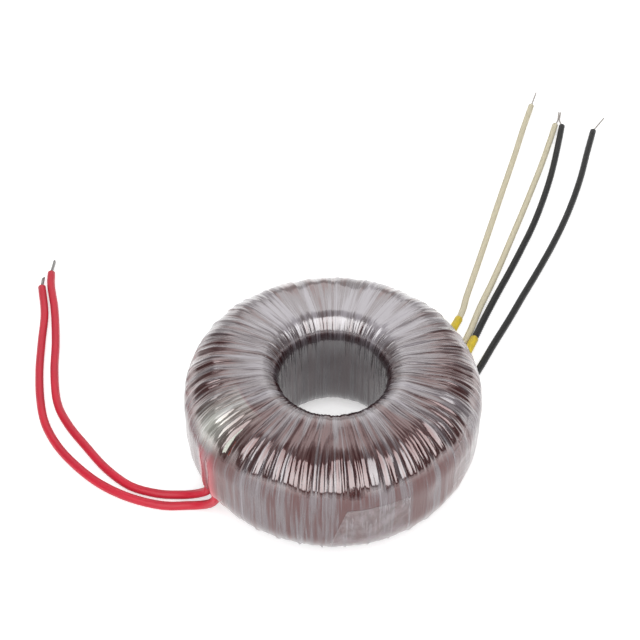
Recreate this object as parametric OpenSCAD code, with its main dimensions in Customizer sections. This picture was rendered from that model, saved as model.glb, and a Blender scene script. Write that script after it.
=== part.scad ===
// Toroidal mains transformer: a wound strip-steel ring core, insulated and wound
// through its hole, wrapped turn by turn in clear polyester film, with a pair of
// stranded primary leads and two pairs of sleeved secondary leads.
// Millimetres, +Z up. The origin is where the ring's axis meets the face it stands on.

/* [Core] */
// Outside diameter of the wound steel core
core_od = 69; // [60:0.5:90]
// Inside diameter of the wound steel core
core_id = 44.3; // [40:0.1:50]
// Height of the wound steel core
core_h = 22.2; // [14:0.1:50]
// Rounding of the core's edges
core_edge = 1; // [0.4:0.1:2]

/* [Windings and insulation] */
// Thickness of the tape round the core, on the outer wall
core_tape_t = 0.6; // [0.3:0.05:1]
// Thickness of the primary winding, on the outer wall
primary_t = 2.6; // [2:0.1:3.2]
// Thickness of the tape between the windings, on the outer wall
barrier_t = 0.6; // [0.3:0.05:1]
// Thickness of the secondary winding's one layer, on the outer wall
secondary_t = 1; // [0.7:0.05:1.4]
// How many times thicker each layer lies in the hole than on the outer wall
hole_build = 1.45; // [1.1:0.05:1.6]
// How many times thicker each layer lies on the two ends than on the outer wall
end_build = 1.2; // [1:0.05:1.4]
// Width of one turn of secondary wire
wire_w = 0.8; // [0.4:0.05:0.9]
// Places for secondary turns round the ring, shared by the two secondaries
turn_places = 96; // [48:2:104]
// Room between a secondary turn and the layers inside and outside it
turn_gap = 0.02; // [0.01:0.01:0.05]

/* [Film wrap] */
// Thickness of the film wrap, on the outer wall
wrap_t = 0.55; // [0.4:0.05:0.8]
// Turns of film round the ring
film_turns = 40; // [24:4:60]
// How proud a film turn's overlap stands
lap_t = 0.15; // [0.05:0.01:0.25]
// Part of each film turn that is overlap
lap_share = 0.5; // [0.3:0.05:0.7]
// Rounding of the finished ring's outer top edge
top_outer_edge = 11.4; // [8:0.1:13]
// Rounding of the finished ring's outer bottom edge
bottom_outer_edge = 13.6; // [8:0.1:14]
// Rounding of the finished ring's inner top edge
top_inner_edge = 5; // [3:0.1:6]
// Rounding of the finished ring's inner bottom edge
bottom_inner_edge = 8; // [3:0.1:9]
// How much lower the top is at its outer edge than beside the hole
top_fall = 0.6; // [0:0.1:1]
// Thickness of the loose ends of film and tape
patch_t = 0.12; // [0.08:0.01:0.2]

/* [Primary leads] */
// Diameter of a stranded primary lead over its insulation
primary_lead_d = 2.4; // [1.6:0.1:2.6]
// Diameter of the bared strands
strand_d = 1; // [0.5:0.1:1.2]
// Height at which the primary leads leave the wrap
primary_exit_z = 10; // [6:0.5:12]
// Room round a primary lead in its channel
channel_gap = 0.05; // [0.03:0.01:0.1]

/* [Secondary leads] */
// Diameter of the light sleeving
light_lead_d = 2; // [1.2:0.1:2.1]
// Diameter of the dark sleeving
dark_lead_d = 2.1; // [1.2:0.1:2.1]
// Diameter of the bare winding wire at each secondary lead's end
bare_wire_d = 0.5; // [0.3:0.05:0.8]
// Outside diameter of the anchor sleeve over each secondary lead
anchor_d = 2.5; // [2.4:0.1:3]
// Room between a lead and its anchor sleeve
anchor_gap = 0.06; // [0.04:0.01:0.12]

/* [Hidden] */
$fn = 96;

// How thick everything lies on the outer wall, up to the outside of each layer
tape_level = core_tape_t;
primary_level = tape_level + primary_t;
barrier_level = primary_level + barrier_t;
secondary_level = barrier_level + secondary_t;
wrap_level = secondary_level + wrap_t;

ring_r = core_od / 2 + wrap_level;
ring_h = core_h + 2 * end_build * wrap_level;
far = 2 * ring_r;

// How far a straight side of the section lies inside its corners' common tangent, and
// how many degrees each corner's round runs on under it
side_inset = 0.002;
side_overlap = 6;

// A stretch of the ring that the secondary turns leave free for the primary's leads
lead_gap_from = 199;
lead_gap_to = 223;
pad_reach = 4;
primary_run_angles = [217.7, 212.3];

// The film drawn over the primary's leads stops short of their mouth and of the pad
cover_margin = 1;
// The mouths are this much wider than the channels and stand this much further out
mouth_flare = 0.45;
// The laps' proud step dies out above this height
lap_bottom = 2;

// Where the closing tape and the tail of the film lie, in degrees round the ring
closing_from = 269;
closing_to = 299;
closing_bottom = 4;
closing_top = ring_h - top_outer_edge;
tail_from = 321;
tail_to = 339;
tail_drop = 5;
tail_length = 15;

// The closing tape's upper corner is cut along a line at this slant
corner_slant = 40;
corner_cut = [8, 20, 12];
corner_drop = 3;
// Patches are cut from the ring's surface outside the middle of the core's width
patch_inner_r = (core_od + core_id) / 4;

// Routes of the primary leads, from where they leave the wrap to the bared strands
primary_route_a = [[-30.8, -23.8, 10], [-31.2, -23.6, 7.4], [-32.8, -22.6, 4.4],
    [-35.6, -21.5, 2.2], [-39.4, -21, 1.3], [-46, -20.9, 1.2], [-55, -18.3, 1.2],
    [-63.6, -13.6, 1.2], [-71, -7.2, 1.2], [-77, -0.2, 1.2], [-81.6, 8, 1.2],
    [-84.2, 17, 1.2], [-86, 28, 1.2], [-87, 40, 1.2], [-87.8, 52, 1.2], [-90.2, 63.4, 1.2]];
primary_route_b = [[-32.9, -20.8, 10], [-33.4, -20.5, 7.4], [-35.4, -19.1, 4.5],
    [-38.2, -18, 2.3], [-42, -17.4, 1.3], [-47.6, -16.9, 1.2], [-55.3, -14.3, 1.2],
    [-62.6, -8.2, 1.2], [-69, -0.4, 1.2], [-75, 7.6, 1.2], [-79.2, 16, 1.2],
    [-81.6, 28, 1.2], [-82.8, 40, 1.2], [-84.9, 53.4, 1.2], [-87.4, 64, 1.2],
    [-88.1, 69.8, 1.2]];
primary_tip_a = [[-90.2, 63.4, 1.2], [-90.4, 68.4, 0.8]];
primary_tip_b = [[-88.1, 69.8, 1.2], [-87.8, 76.2, 0.8]];

// Routes of the secondary leads, from inside the anchor sleeve to the bare wire
light_route_a = [[28.5, 24.7, 6], [39.1, 49.9, 1.4], [42.1, 59.8, 1], [45.5, 70.5, 1],
    [49, 81.7, 1], [52.6, 93.3, 1], [56.3, 105.3, 1], [60.2, 117.7, 1], [64.2, 130.6, 1],
    [68.2, 144, 1], [72.3, 156.8, 1]];
light_route_b = [[30.7, 21.9, 6], [37.5, 35.3, 1.4], [41.2, 42.6, 1], [45.7, 54.5, 1],
    [50.2, 65.1, 1], [54.6, 76.1, 1], [58.9, 87.4, 1], [63.4, 99.2, 1], [67.9, 111.4, 1],
    [72.5, 124.1, 1], [76.9, 137.3, 1], [79.6, 145.7, 1]];
dark_route_a = [[33.5, 17.3, 6], [43.2, 41.6, 1.4], [46.4, 49.2, 1.05], [51.2, 59.7, 1.05],
    [56.3, 70.4, 1.05], [61.4, 81.6, 1.05], [66.4, 93.2, 1.05], [70.8, 105.2, 1.05],
    [74.8, 117.6, 1.05], [78.3, 130.5, 1.05], [81.9, 145, 1.05]];
dark_route_b = [[35.2, 13.5, 6], [41.8, 25.9, 1.4], [48.7, 39.2, 1.05], [54.1, 49.2, 1.05],
    [59.5, 59.7, 1.05], [65.1, 70.4, 1.05], [70.7, 81.6, 1.05], [76, 93.2, 1.05],
    [80.8, 105.2, 1.05], [85.1, 117.6, 1.05], [88.9, 130.5, 1.05], [92.5, 142.2, 1.05]];
light_tip_a = [[72.3, 156.8, 1], [75, 165.2, 0.6]];
light_tip_b = [[79.6, 145.7, 1], [81, 149, 0.7], [81.9, 153.6, 0.6]];
dark_tip_a = [[81.9, 145, 1.05], [81.6, 149, 0.7], [82.5, 153.4, 0.6]];
dark_tip_b = [[92.5, 142.2, 1.05], [97.5, 150.2, 0.6]];

// The anchor sleeves start this far back along the lead, in the wrap
anchor_back = 3;
tube_sides = 8;

// Rounding of one edge at a level, between the core's and the finished ring's
function edge_at(finished, level) =
    core_edge + (finished - core_edge) * level / wrap_level;

// The four edge circles of the ring's section, outer top first and anticlockwise:
// [centre r, centre z, radius]. proud adds to the outer side only.
function edge_circles(level, proud) =
    let (outer = core_od / 2 + level + proud,
         inner = core_id / 2 - level * hole_build,
         low = end_build * (wrap_level - level),
         high = low + core_h + 2 * end_build * level,
         shoulder = high - top_fall * level / wrap_level + proud,
         ot = edge_at(top_outer_edge, level) + proud,
         it = edge_at(top_inner_edge, level),
         ib = edge_at(bottom_inner_edge, level),
         ob = edge_at(bottom_outer_edge, level) + proud)
    [[outer - ot, shoulder - ot, ot], [inner + it, high - it, it],
     [inner + ib, low + ib, ib], [outer - ob, low + ob, ob]];

// Direction of the straight line that runs round the outside of circles a and b
function tangent_angle(a, b) =
    atan2(b[1] - a[1], b[0] - a[0]) - 90 + asin((a[2] - b[2]) / norm([b[0] - a[0], b[1] - a[1]]));
function on_circle(c, angle) = [c[0] + c[2] * cos(angle), c[1] + c[2] * sin(angle)];

// The round of one corner of the section, a little past where its two sides leave it
module corner_round(c, from, to) {
    reach = [c[0], c[1], 2 * c[2]];
    intersection() {
        translate([c[0], c[1]]) circle(r = c[2]);
        polygon([[c[0], c[1]], on_circle(reach, from - side_overlap),
                 on_circle(reach, (from + to) / 2), on_circle(reach, to + side_overlap)]);
    }
}

// Section of the ring out to a level, as straight sides between four round corners.
// A side lies a hair inside the line that touches both corners, so that it crosses them.
module ring_section(level, proud = 0) {
    edges = edge_circles(level, proud);
    angles = [for (i = [0:3]) tangent_angle(edges[i], edges[(i + 1) % 4])];
    polygon([for (i = [0:3]) let (a = edges[i], b = edges[(i + 1) % 4])
             each [on_circle([a[0], a[1], a[2] - side_inset], angles[i]),
                   on_circle([b[0], b[1], b[2] - side_inset], angles[i])]]);
    for (i = [0:3]) {
        from = angles[(i + 3) % 4];
        corner_round(edges[i], from, from + (angles[i] - from + 720) % 360);
    }
}

// Everything inside the ring's surface at a level
module ring_solid(level, proud = 0) {
    rotate_extrude() ring_section(level, proud);
}

// One layer of the ring, all the way round or over an arc
module ring_layer(level_in, level_out, proud_in = 0, proud_out = 0, from = 0, arc = 360) {
    rotate([0, 0, from]) rotate_extrude(angle = arc) difference() {
        ring_section(level_out, proud_out);
        ring_section(level_in, proud_in);
    }
}

// What lies outside a radius and between two heights, over an arc
module window(from, arc, r_from, z_from, z_to) {
    rotate([0, 0, from - 1]) rotate_extrude(angle = arc + 2)
        translate([r_from, z_from]) square([far - r_from, z_to - z_from]);
}

// One closed turn of secondary wire, standing in the plane of the ring's axis
module secondary_turn() {
    rotate([90, 0, 0]) linear_extrude(height = wire_w, center = true) difference() {
        ring_section(secondary_level - turn_gap);
        ring_section(barrier_level + turn_gap);
    }
}

// Turns of one secondary: every second place, apart from the primary leads' stretch
module secondary_turns(first) {
    pitch = 360 / turn_places;
    for (i = [first:2:turn_places - 1])
        if (i * pitch < lead_gap_from || i * pitch > lead_gap_to)
            rotate([0, 0, i * pitch]) secondary_turn();
}

// Radius at which the primary leads run, lying on the primary winding
primary_run_r = core_od / 2 + primary_level + primary_lead_d / 2;

// An upright cylinder on the path of one primary lead
module primary_path(angle, r, from, to, out = 0) {
    rotate([0, 0, angle]) translate([primary_run_r + out, 0, from]) cylinder(r = r, h = to - from);
}

// Channel of one primary lead, up to the pad, and its mouth at the bottom edge
module primary_channel(angle) {
    primary_path(angle, primary_lead_d / 2 + channel_gap, primary_exit_z, closing_top);
    primary_path(angle, primary_lead_d / 2 + mouth_flare, -1, primary_exit_z,
                 mouth_flare - channel_gap);
}

// Film drawn tight over the two primary leads
module primary_cover() {
    for (angle = primary_run_angles)
        primary_path(angle, primary_lead_d / 2 + wrap_t, primary_exit_z + cover_margin,
                     closing_top - cover_margin);
}

// A cylinder from one point to another
module rod(a, b, r) {
    d = b - a;
    translate(a) rotate([0, acos(d[2] / norm(d)), atan2(d[1], d[0])]) cylinder(r = r, h = norm(d));
}

// Direction of a lead in its anchor sleeve, and the sleeve's inner end in the wrap
function heading(route) = (route[1] - route[0]) / norm(route[1] - route[0]);
function anchor_start(route) = route[0] - anchor_back * heading(route);

// Directions and sides along a swept tube. before is the point that it comes from.
function unit(v) = v / norm(v);
function direction(route, before, i) =
    i == 0 ? unit(route[0] - before) :
    i == len(route) - 1 ? unit(route[i] - route[i - 1]) :
    unit(unit(route[i + 1] - route[i]) + unit(route[i] - route[i - 1]));
function sides_along(route, before, i, side) =
    i == len(route) ? [] :
    let (along = direction(route, before, i), s = unit(side - (side * along) * along))
    concat([s], sides_along(route, before, i + 1, s));
function tube_ring(centre, along, side, r) =
    let (up = cross(along, side))
    [for (k = [0:tube_sides - 1])
        let (a = 360 * (k + 0.5) / tube_sides) centre + r * (cos(a) * side + sin(a) * up)];

// A plain tube along a route, with one ring of points at each of the route's points
module swept_tube(route, d, before) {
    rings = len(route);
    side = sides_along(route, before, 0, [1, 0, 0]);
    points = [for (i = [0:rings - 1])
              each tube_ring(route[i], direction(route, before, i), side[i], d / 2)];
    walls = [for (i = [0:rings - 2]) for (k = [0:tube_sides - 1])
             let (n = (k + 1) % tube_sides, a = i * tube_sides, b = a + tube_sides)
             each [[a + k, b + n, a + n], [a + k, b + k, b + n]]];
    caps = [[for (k = [0:tube_sides - 1]) k],
            [for (k = [tube_sides - 1:-1:0]) (rings - 1) * tube_sides + k]];
    polyhedron(points = points, faces = concat(caps, walls));
}

// ---- the ring, from the inside out ----

module core() {
    color("slategray") ring_solid(0);
}

module core_tape() {
    color("beige") ring_layer(0, tape_level);
}

module primary_winding() {
    color("sienna") ring_layer(tape_level, primary_level);
}

module barrier_tape() {
    color("khaki") difference() {
        ring_layer(primary_level, barrier_level);
        for (angle = primary_run_angles) primary_channel(angle);
    }
}

module secondary_winding_a() {
    color("maroon") secondary_turns(0);
}

module secondary_winding_b() {
    color("brown") secondary_turns(1);
}

// Insulating pad over the joints of the primary leads, on the ring's outer top edge
module splice_pad() {
    color("gainsboro") intersection() {
        ring_layer(barrier_level + turn_gap, secondary_level - turn_gap,
                   from = lead_gap_from, arc = lead_gap_to - lead_gap_from);
        window(lead_gap_from, lead_gap_to - lead_gap_from, core_od / 2 - pad_reach, closing_top, ring_h);
    }
}

module outer_wrap() {
    turn = 360 / film_turns;
    color("thistle") difference() {
        union() {
            ring_solid(wrap_level);
            for (i = [0:film_turns - 1]) intersection() {
                ring_layer(secondary_level, wrap_level, 0, lap_t,
                           from = (i - lap_share / 2) * turn, arc = lap_share * turn);
                window((i - lap_share / 2) * turn, lap_share * turn,
                       core_od / 2 - top_outer_edge, lap_bottom, ring_h + 1);
            }
            primary_cover();
        }
        ring_solid(secondary_level);
        for (angle = primary_run_angles) primary_channel(angle);
        for (route = [light_route_a, light_route_b, dark_route_a, dark_route_b])
            rod(anchor_start(route), route[1], anchor_d / 2 + anchor_gap);
    }
}

// Clear tape that holds the film's start down, its upper corner cut off aslant
module closing_tape() {
    arc = closing_to - closing_from;
    color("white") difference() {
        intersection() {
            ring_layer(wrap_level, wrap_level, lap_t, lap_t + patch_t, from = closing_from, arc = arc);
            window(closing_from, arc, patch_inner_r, closing_bottom, closing_top);
        }
        rotate([0, 0, closing_from]) translate([ring_r, 0, closing_top - corner_drop])
            rotate([corner_slant, 0, 0]) cube(corner_cut, center = true);
    }
}

// The film's loose tail, lying on the outer top edge
module wrap_tail() {
    arc = tail_to - tail_from;
    color("lavender") intersection() {
        ring_layer(wrap_level, wrap_level, lap_t, lap_t + patch_t, from = tail_from, arc = arc);
        window(tail_from, arc, patch_inner_r, ring_h - tail_drop - tail_length,
               ring_h - tail_drop);
    }
}

// ---- the leads ----

// The stretch of a primary lead that the film holds against the wall
module primary_run(angle) {
    color("crimson") primary_path(angle, primary_lead_d / 2, primary_exit_z, closing_top);
}

module anchor(route, lead_d) {
    color("gold") difference() {
        rod(anchor_start(route), route[1], anchor_d / 2);
        rod(anchor_start(route) - heading(route), route[1] + heading(route), lead_d / 2 + anchor_gap);
        ring_solid(secondary_level);
    }
}

module primary_lead(route) {
    color("crimson") swept_tube(route, primary_lead_d, route[0] + [0, 0, 1]);
}

module light_lead(route) {
    color("wheat") swept_tube(route, light_lead_d, anchor_start(route));
}

module dark_lead(route) {
    color("black") swept_tube(route, dark_lead_d, anchor_start(route));
}

// The bare end of a lead goes on from the lead's last stretch
module bared_strands(tip, route) {
    color("silver") swept_tube(tip, strand_d, route[len(route) - 2]);
}

module bare_wire(tip, route) {
    color("peru") swept_tube(tip, bare_wire_d, route[len(route) - 2]);
}

core();
core_tape();
primary_winding();
barrier_tape();
secondary_winding_a();
secondary_winding_b();
splice_pad();
outer_wrap();
closing_tape();
wrap_tail();
primary_run(primary_run_angles[0]);  // primary_run_a
primary_run(primary_run_angles[1]);  // primary_run_b
anchor(light_route_a, light_lead_d);  // anchor_light_a
anchor(light_route_b, light_lead_d);  // anchor_light_b
anchor(dark_route_a, dark_lead_d);  // anchor_dark_a
anchor(dark_route_b, dark_lead_d);  // anchor_dark_b
primary_lead(primary_route_a);  // primary_lead_a
primary_lead(primary_route_b);  // primary_lead_b
light_lead(light_route_a);  // light_lead_a
light_lead(light_route_b);  // light_lead_b
dark_lead(dark_route_a);  // dark_lead_a
dark_lead(dark_route_b);  // dark_lead_b
bared_strands(primary_tip_a, primary_route_a);  // primary_end_a
bared_strands(primary_tip_b, primary_route_b);  // primary_end_b
bare_wire(light_tip_a, light_route_a);  // light_end_a
bare_wire(light_tip_b, light_route_b);  // light_end_b
bare_wire(dark_tip_a, dark_route_a);  // dark_end_a
bare_wire(dark_tip_b, dark_route_b);  // dark_end_b
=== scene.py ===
"""Toroidal mains transformer: a film-wrapped ring with two stranded primary leads and
four sleeved secondary leads, lying on a pale floor. Metres, +Z up."""

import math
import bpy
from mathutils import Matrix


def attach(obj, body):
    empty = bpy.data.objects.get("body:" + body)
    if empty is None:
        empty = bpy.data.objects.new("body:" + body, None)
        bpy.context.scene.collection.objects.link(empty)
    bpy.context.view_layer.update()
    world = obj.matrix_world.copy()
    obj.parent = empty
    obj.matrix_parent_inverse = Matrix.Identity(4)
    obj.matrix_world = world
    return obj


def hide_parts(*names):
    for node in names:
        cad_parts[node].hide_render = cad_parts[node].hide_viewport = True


bl_info = {
    "name": "Toroidal transformer",
    "version": (1, 0, 0),
    "blender": (4, 5, 0),
    "location": "3D View > Sidebar > Transformer",
    "description": "Film wrap, leads, sleeves and finishes of a toroidal transformer",
    "category": "Object",
}

import bmesh
import bpy
from bpy.props import FloatProperty, FloatVectorProperty, IntProperty, PointerProperty
from mathutils import Matrix, Vector, noise

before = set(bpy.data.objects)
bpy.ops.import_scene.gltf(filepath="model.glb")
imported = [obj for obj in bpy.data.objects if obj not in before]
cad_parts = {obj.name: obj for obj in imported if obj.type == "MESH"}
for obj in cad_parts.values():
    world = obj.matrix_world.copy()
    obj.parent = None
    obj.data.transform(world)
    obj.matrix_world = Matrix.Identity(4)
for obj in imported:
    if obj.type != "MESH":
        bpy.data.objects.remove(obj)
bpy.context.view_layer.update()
MM = 0.001

# ---- sizes that the ring shares with its wrap, in millimetres ----

RING_R = 40.0
HOLE_R = 14.4
RING_H = 35.04
TOP_FALL = 0.6
EDGES = {"outer_top": 11.4, "inner_top": 6.4, "inner_bottom": 8.0, "outer_bottom": 13.6}
RUN_ANGLES = (217.7, 212.3)
RUN_FROM, RUN_TO = 10.0, 23.6
PAD_ANGLE, PAD_HEIGHT = 210.5, 31.4
PATCH_THICK = 0.04

# ---- ends of the leads and their sleeves: counts, shares, and lengths in metres ----

END_ROUND = 0.12
STRANDS = 7
STRAND_R = 0.00017
STRAND_SPREAD = 0.00031
STRAND_TWIST = 0.42
SLEEVE_INSIDE = 0.003
SLEEVE_SPARE = 0.0022
SLEEVE_STEPS = 26

# ---- the camera, in metres ----

CAMERA_PLACE = (-0.00344, -0.24946, 0.30612)
CAMERA_AIM = (-0.00344, 0.05032, 0)

# ---- routes of the leads, in metres ----

PRIMARY_ROUTE_A = [
    (-0.0308, -0.0238, 0.010), (-0.0312, -0.0236, 0.0074), (-0.0328, -0.0226, 0.0044),
    (-0.0356, -0.0215, 0.0022), (-0.0394, -0.021, 0.0013), (-0.046, -0.0209, 0.0012),
    (-0.055, -0.0183, 0.0012), (-0.0636, -0.0136, 0.0012), (-0.071, -0.0072, 0.0012),
    (-0.077, -0.0002, 0.0012), (-0.0816, 0.008, 0.0012), (-0.0842, 0.017, 0.0012),
    (-0.086, 0.028, 0.0012), (-0.087, 0.040, 0.0012), (-0.0878, 0.052, 0.0012),
    (-0.0902, 0.0634, 0.0012)]
PRIMARY_ROUTE_B = [
    (-0.0329, -0.0208, 0.010), (-0.0334, -0.0205, 0.0074), (-0.0354, -0.0191, 0.0045),
    (-0.0382, -0.018, 0.0023), (-0.042, -0.0174, 0.0013), (-0.0476, -0.0169, 0.0012),
    (-0.0553, -0.0143, 0.0012), (-0.0626, -0.0082, 0.0012), (-0.069, -0.0004, 0.0012),
    (-0.075, 0.0076, 0.0012), (-0.0792, 0.016, 0.0012), (-0.0816, 0.028, 0.0012),
    (-0.0828, 0.040, 0.0012), (-0.0849, 0.0534, 0.0012), (-0.0874, 0.064, 0.0012),
    (-0.0881, 0.0698, 0.0012)]
PRIMARY_TIP_A = [(-0.0902, 0.0634, 0.0012), (-0.0904, 0.0684, 0.0008)]
PRIMARY_TIP_B = [(-0.0881, 0.0698, 0.0012), (-0.0878, 0.0762, 0.0008)]
LIGHT_ROUTE_A = [
    (0.0285, 0.0247, 0.006), (0.0391, 0.0499, 0.0014), (0.0421, 0.0598, 0.001),
    (0.0455, 0.0705, 0.001), (0.049, 0.0817, 0.001), (0.0526, 0.0933, 0.001),
    (0.0563, 0.1053, 0.001), (0.0602, 0.1177, 0.001), (0.0642, 0.1306, 0.001),
    (0.0682, 0.144, 0.001), (0.0723, 0.1568, 0.001)]
LIGHT_ROUTE_B = [
    (0.0307, 0.0219, 0.006), (0.0375, 0.0353, 0.0014), (0.0412, 0.0426, 0.001),
    (0.0457, 0.0545, 0.001), (0.0502, 0.0651, 0.001), (0.0546, 0.0761, 0.001),
    (0.0589, 0.0874, 0.001), (0.0634, 0.0992, 0.001), (0.0679, 0.1114, 0.001),
    (0.0725, 0.1241, 0.001), (0.0769, 0.1373, 0.001), (0.0796, 0.1457, 0.001)]
DARK_ROUTE_A = [
    (0.0335, 0.0173, 0.006), (0.0432, 0.0416, 0.0014), (0.0464, 0.0492, 0.00105),
    (0.0512, 0.0597, 0.00105), (0.0563, 0.0704, 0.00105), (0.0614, 0.0816, 0.00105),
    (0.0664, 0.0932, 0.00105), (0.0708, 0.1052, 0.00105), (0.0748, 0.1176, 0.00105),
    (0.0783, 0.1305, 0.00105), (0.0819, 0.145, 0.00105)]
DARK_ROUTE_B = [
    (0.0352, 0.0135, 0.006), (0.0418, 0.0259, 0.0014), (0.0487, 0.0392, 0.00105),
    (0.0541, 0.0492, 0.00105), (0.0595, 0.0597, 0.00105), (0.0651, 0.0704, 0.00105),
    (0.0707, 0.0816, 0.00105), (0.076, 0.0932, 0.00105), (0.0808, 0.1052, 0.00105),
    (0.0851, 0.1176, 0.00105), (0.0889, 0.1305, 0.00105), (0.0925, 0.1422, 0.00105)]
LIGHT_TIP_A = [(0.0723, 0.1568, 0.001), (0.075, 0.1652, 0.0006)]
LIGHT_TIP_B = [(0.0796, 0.1457, 0.001), (0.081, 0.149, 0.0007), (0.0819, 0.1536, 0.0006)]
DARK_TIP_A = [(0.0819, 0.145, 0.00105), (0.0816, 0.149, 0.0007), (0.0825, 0.1534, 0.0006)]
DARK_TIP_B = [(0.0925, 0.1422, 0.00105), (0.0975, 0.1502, 0.0006)]


def linear(hexcode):
    """An sRGB hex colour as linear RGBA."""
    parts = [int(hexcode[i:i + 2], 16) / 255 for i in (1, 3, 5)]
    return [c / 12.92 if c <= 0.04045 else ((c + 0.055) / 1.055) ** 2.4 for c in parts] + [1.0]


def colour_property(name, description, hexcode):
    """A colour that a user can change, given as sRGB hex."""
    return FloatVectorProperty(name=name, description=description, subtype="COLOR", size=4,
                               min=0, max=1, default=linear(hexcode))


class RingWrapSettings(bpy.types.PropertyGroup):
    """The film wrapped through and round the ring."""
    steps_round: IntProperty(name="Steps round", description="Faces round the ring", default=900, min=200,
                             max=1000)
    pleat_depth: FloatProperty(name="Pleat depth",
                               description="Height of the film's pleats on the rim, in millimetres",
                               default=0.6, min=0, max=1)
    pleats: IntProperty(name="Pleats", description="Pleats round the ring", default=92, min=30, max=160)
    laps: IntProperty(name="Laps", description="Turns of film round the ring", default=40, min=20, max=60)
    lap_step: FloatProperty(name="Lap step",
                            description="Height of the edge of a film turn, in millimetres", default=0.07,
                            min=0, max=0.2)
    milky: colour_property("Milky film", "Many layers of clear film", "#979097")
    clear: colour_property("Clear film", "Copper winding seen through few layers of film", "#52201F")
    blush: colour_property("Blushed film", "Film over copper, between clear and milky", "#6A5E62")


class LeadSettings(bpy.types.PropertyGroup):
    """The stranded primary leads and the sleeved secondary leads."""
    primary_d: FloatProperty(name="Primary lead", description="Diameter over the insulation",
                             default=0.0024, min=0.001, max=0.004, unit="LENGTH")
    light_d: FloatProperty(name="Light sleeve", description="Diameter of the light sleeving",
                           default=0.0020, min=0.001, max=0.004, unit="LENGTH")
    dark_d: FloatProperty(name="Dark sleeve", description="Diameter of the dark sleeving", default=0.0021,
                          min=0.001, max=0.004, unit="LENGTH")
    anchor_d: FloatProperty(name="Anchor sleeve",
                            description="Diameter of the yellow sleeves at the wrap", default=0.0025,
                            min=0.001, max=0.005, unit="LENGTH")
    wire_d: FloatProperty(name="Bare wire", description="Diameter of the winding wire at a lead's end",
                          default=0.0005, min=0.0002, max=0.001, unit="LENGTH")
    red: colour_property("Red insulation", "Extruded insulation of the primary leads", "#D02039")
    cream: colour_property("Light sleeving", "Glass-fibre sleeving, natural", "#DBD2B6")
    black: colour_property("Dark sleeving", "Glass-fibre sleeving, black", "#121111")
    yellow: colour_property("Anchor sleeving", "Yellow polyester sleeving", "#E2C520")


class StudioSettings(bpy.types.PropertyGroup):
    """Floor, lamps and camera."""
    key: FloatProperty(name="Key", description="Brightness of the large soft lamp in front and above",
                       default=2.3, min=0, max=6)
    back: FloatProperty(name="Back", description="Brightness of the soft lamp behind and above",
                        default=0.76, min=0, max=6)
    lens: FloatProperty(name="Lens", description="Focal length in millimetres", default=78.75, min=20,
                        max=200)


# ---- nodes, meshes ----

def node(tree, kind, links=None, **settings):
    """Adds one node: settings are its own properties or its inputs' values, by name."""
    made = tree.nodes.new(kind)
    for key, value in settings.items():
        if key in made.bl_rna.properties:
            setattr(made, key, value)
        else:
            named = [s for s in made.inputs if s.identifier == key or s.name.replace(" ", "_") == key]
            named[0].default_value = value
    for key, source in (links or {}).items():
        tree.links.new(source, made.inputs[key])
    return made


def new_material(name):
    """An empty material with its output and Principled shader."""
    mat = bpy.data.materials.new(name)
    mat.use_nodes = True
    tree = mat.node_tree
    tree.nodes.clear()
    shader = node(tree, "ShaderNodeBsdfPrincipled")
    node(tree, "ShaderNodeOutputMaterial", {"Surface": shader.outputs[0]})
    return mat, tree, shader


def finished(name, bm, material):
    """The bmesh as an object at the origin, with its material, riding on the ring."""
    mesh = bpy.data.meshes.new(name)
    bm.to_mesh(mesh)
    bm.free()
    mesh.materials.append(material)
    mesh.shade_smooth()
    piece = bpy.data.objects.new(name, mesh)
    bpy.context.scene.collection.objects.link(piece)
    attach(piece, "root")
    return piece


def smooth_route(points, spacing):
    """Points about spacing apart along a smooth curve through the given points."""
    knots = [Vector(p) for p in points]
    ends = [2 * knots[0] - knots[1]] + knots + [2 * knots[-1] - knots[-2]]
    fine = [knots[0]]
    for a, b, c, d in zip(ends, ends[1:], ends[2:], ends[3:]):
        steps = max(2, round((c - b).length / spacing))
        for i in range(1, steps + 1):
            t = i / steps
            fine.append(0.5 * (2 * b + (c - a) * t + (2 * a - 5 * b + 4 * c - d) * t ** 2
                               + (3 * b - a - 3 * c + d) * t ** 3))
    return fine


def sweep_tube(bm, path, radii, sides, laid):
    """Circles set along the path, bridged into a tube and closed at both ends. laid is the
    layer that keeps each point's place across and along the tube, in millimetres."""
    side, travelled, last, first = Vector((0, 0, 1)), 0.0, None, None
    for i, point in enumerate(path):
        along = (path[min(i + 1, len(path) - 1)] - path[max(i - 1, 0)]).normalized()
        side = (side - along * side.dot(along)).normalized()
        turn = Matrix((side, along.cross(side), along)).transposed()
        if i:
            travelled += (point - path[i - 1]).length / MM
        ring = bmesh.ops.create_circle(bm, cap_ends=False, segments=sides, radius=radii[i],
                                       matrix=Matrix.Translation(point) @ turn.to_4x4())["verts"]
        for v in ring:
            across = turn.transposed() @ (v.co - point) / MM
            v[laid] = Vector((across.x, across.y, travelled))
        edges = list({e for v in ring for e in v.link_edges})
        first = first or edges
        if last:
            bmesh.ops.bridge_loops(bm, edges=last + edges)
        last = edges
    bmesh.ops.holes_fill(bm, edges=first + last, sides=sides)


# ---- the ring's surface ----

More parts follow.
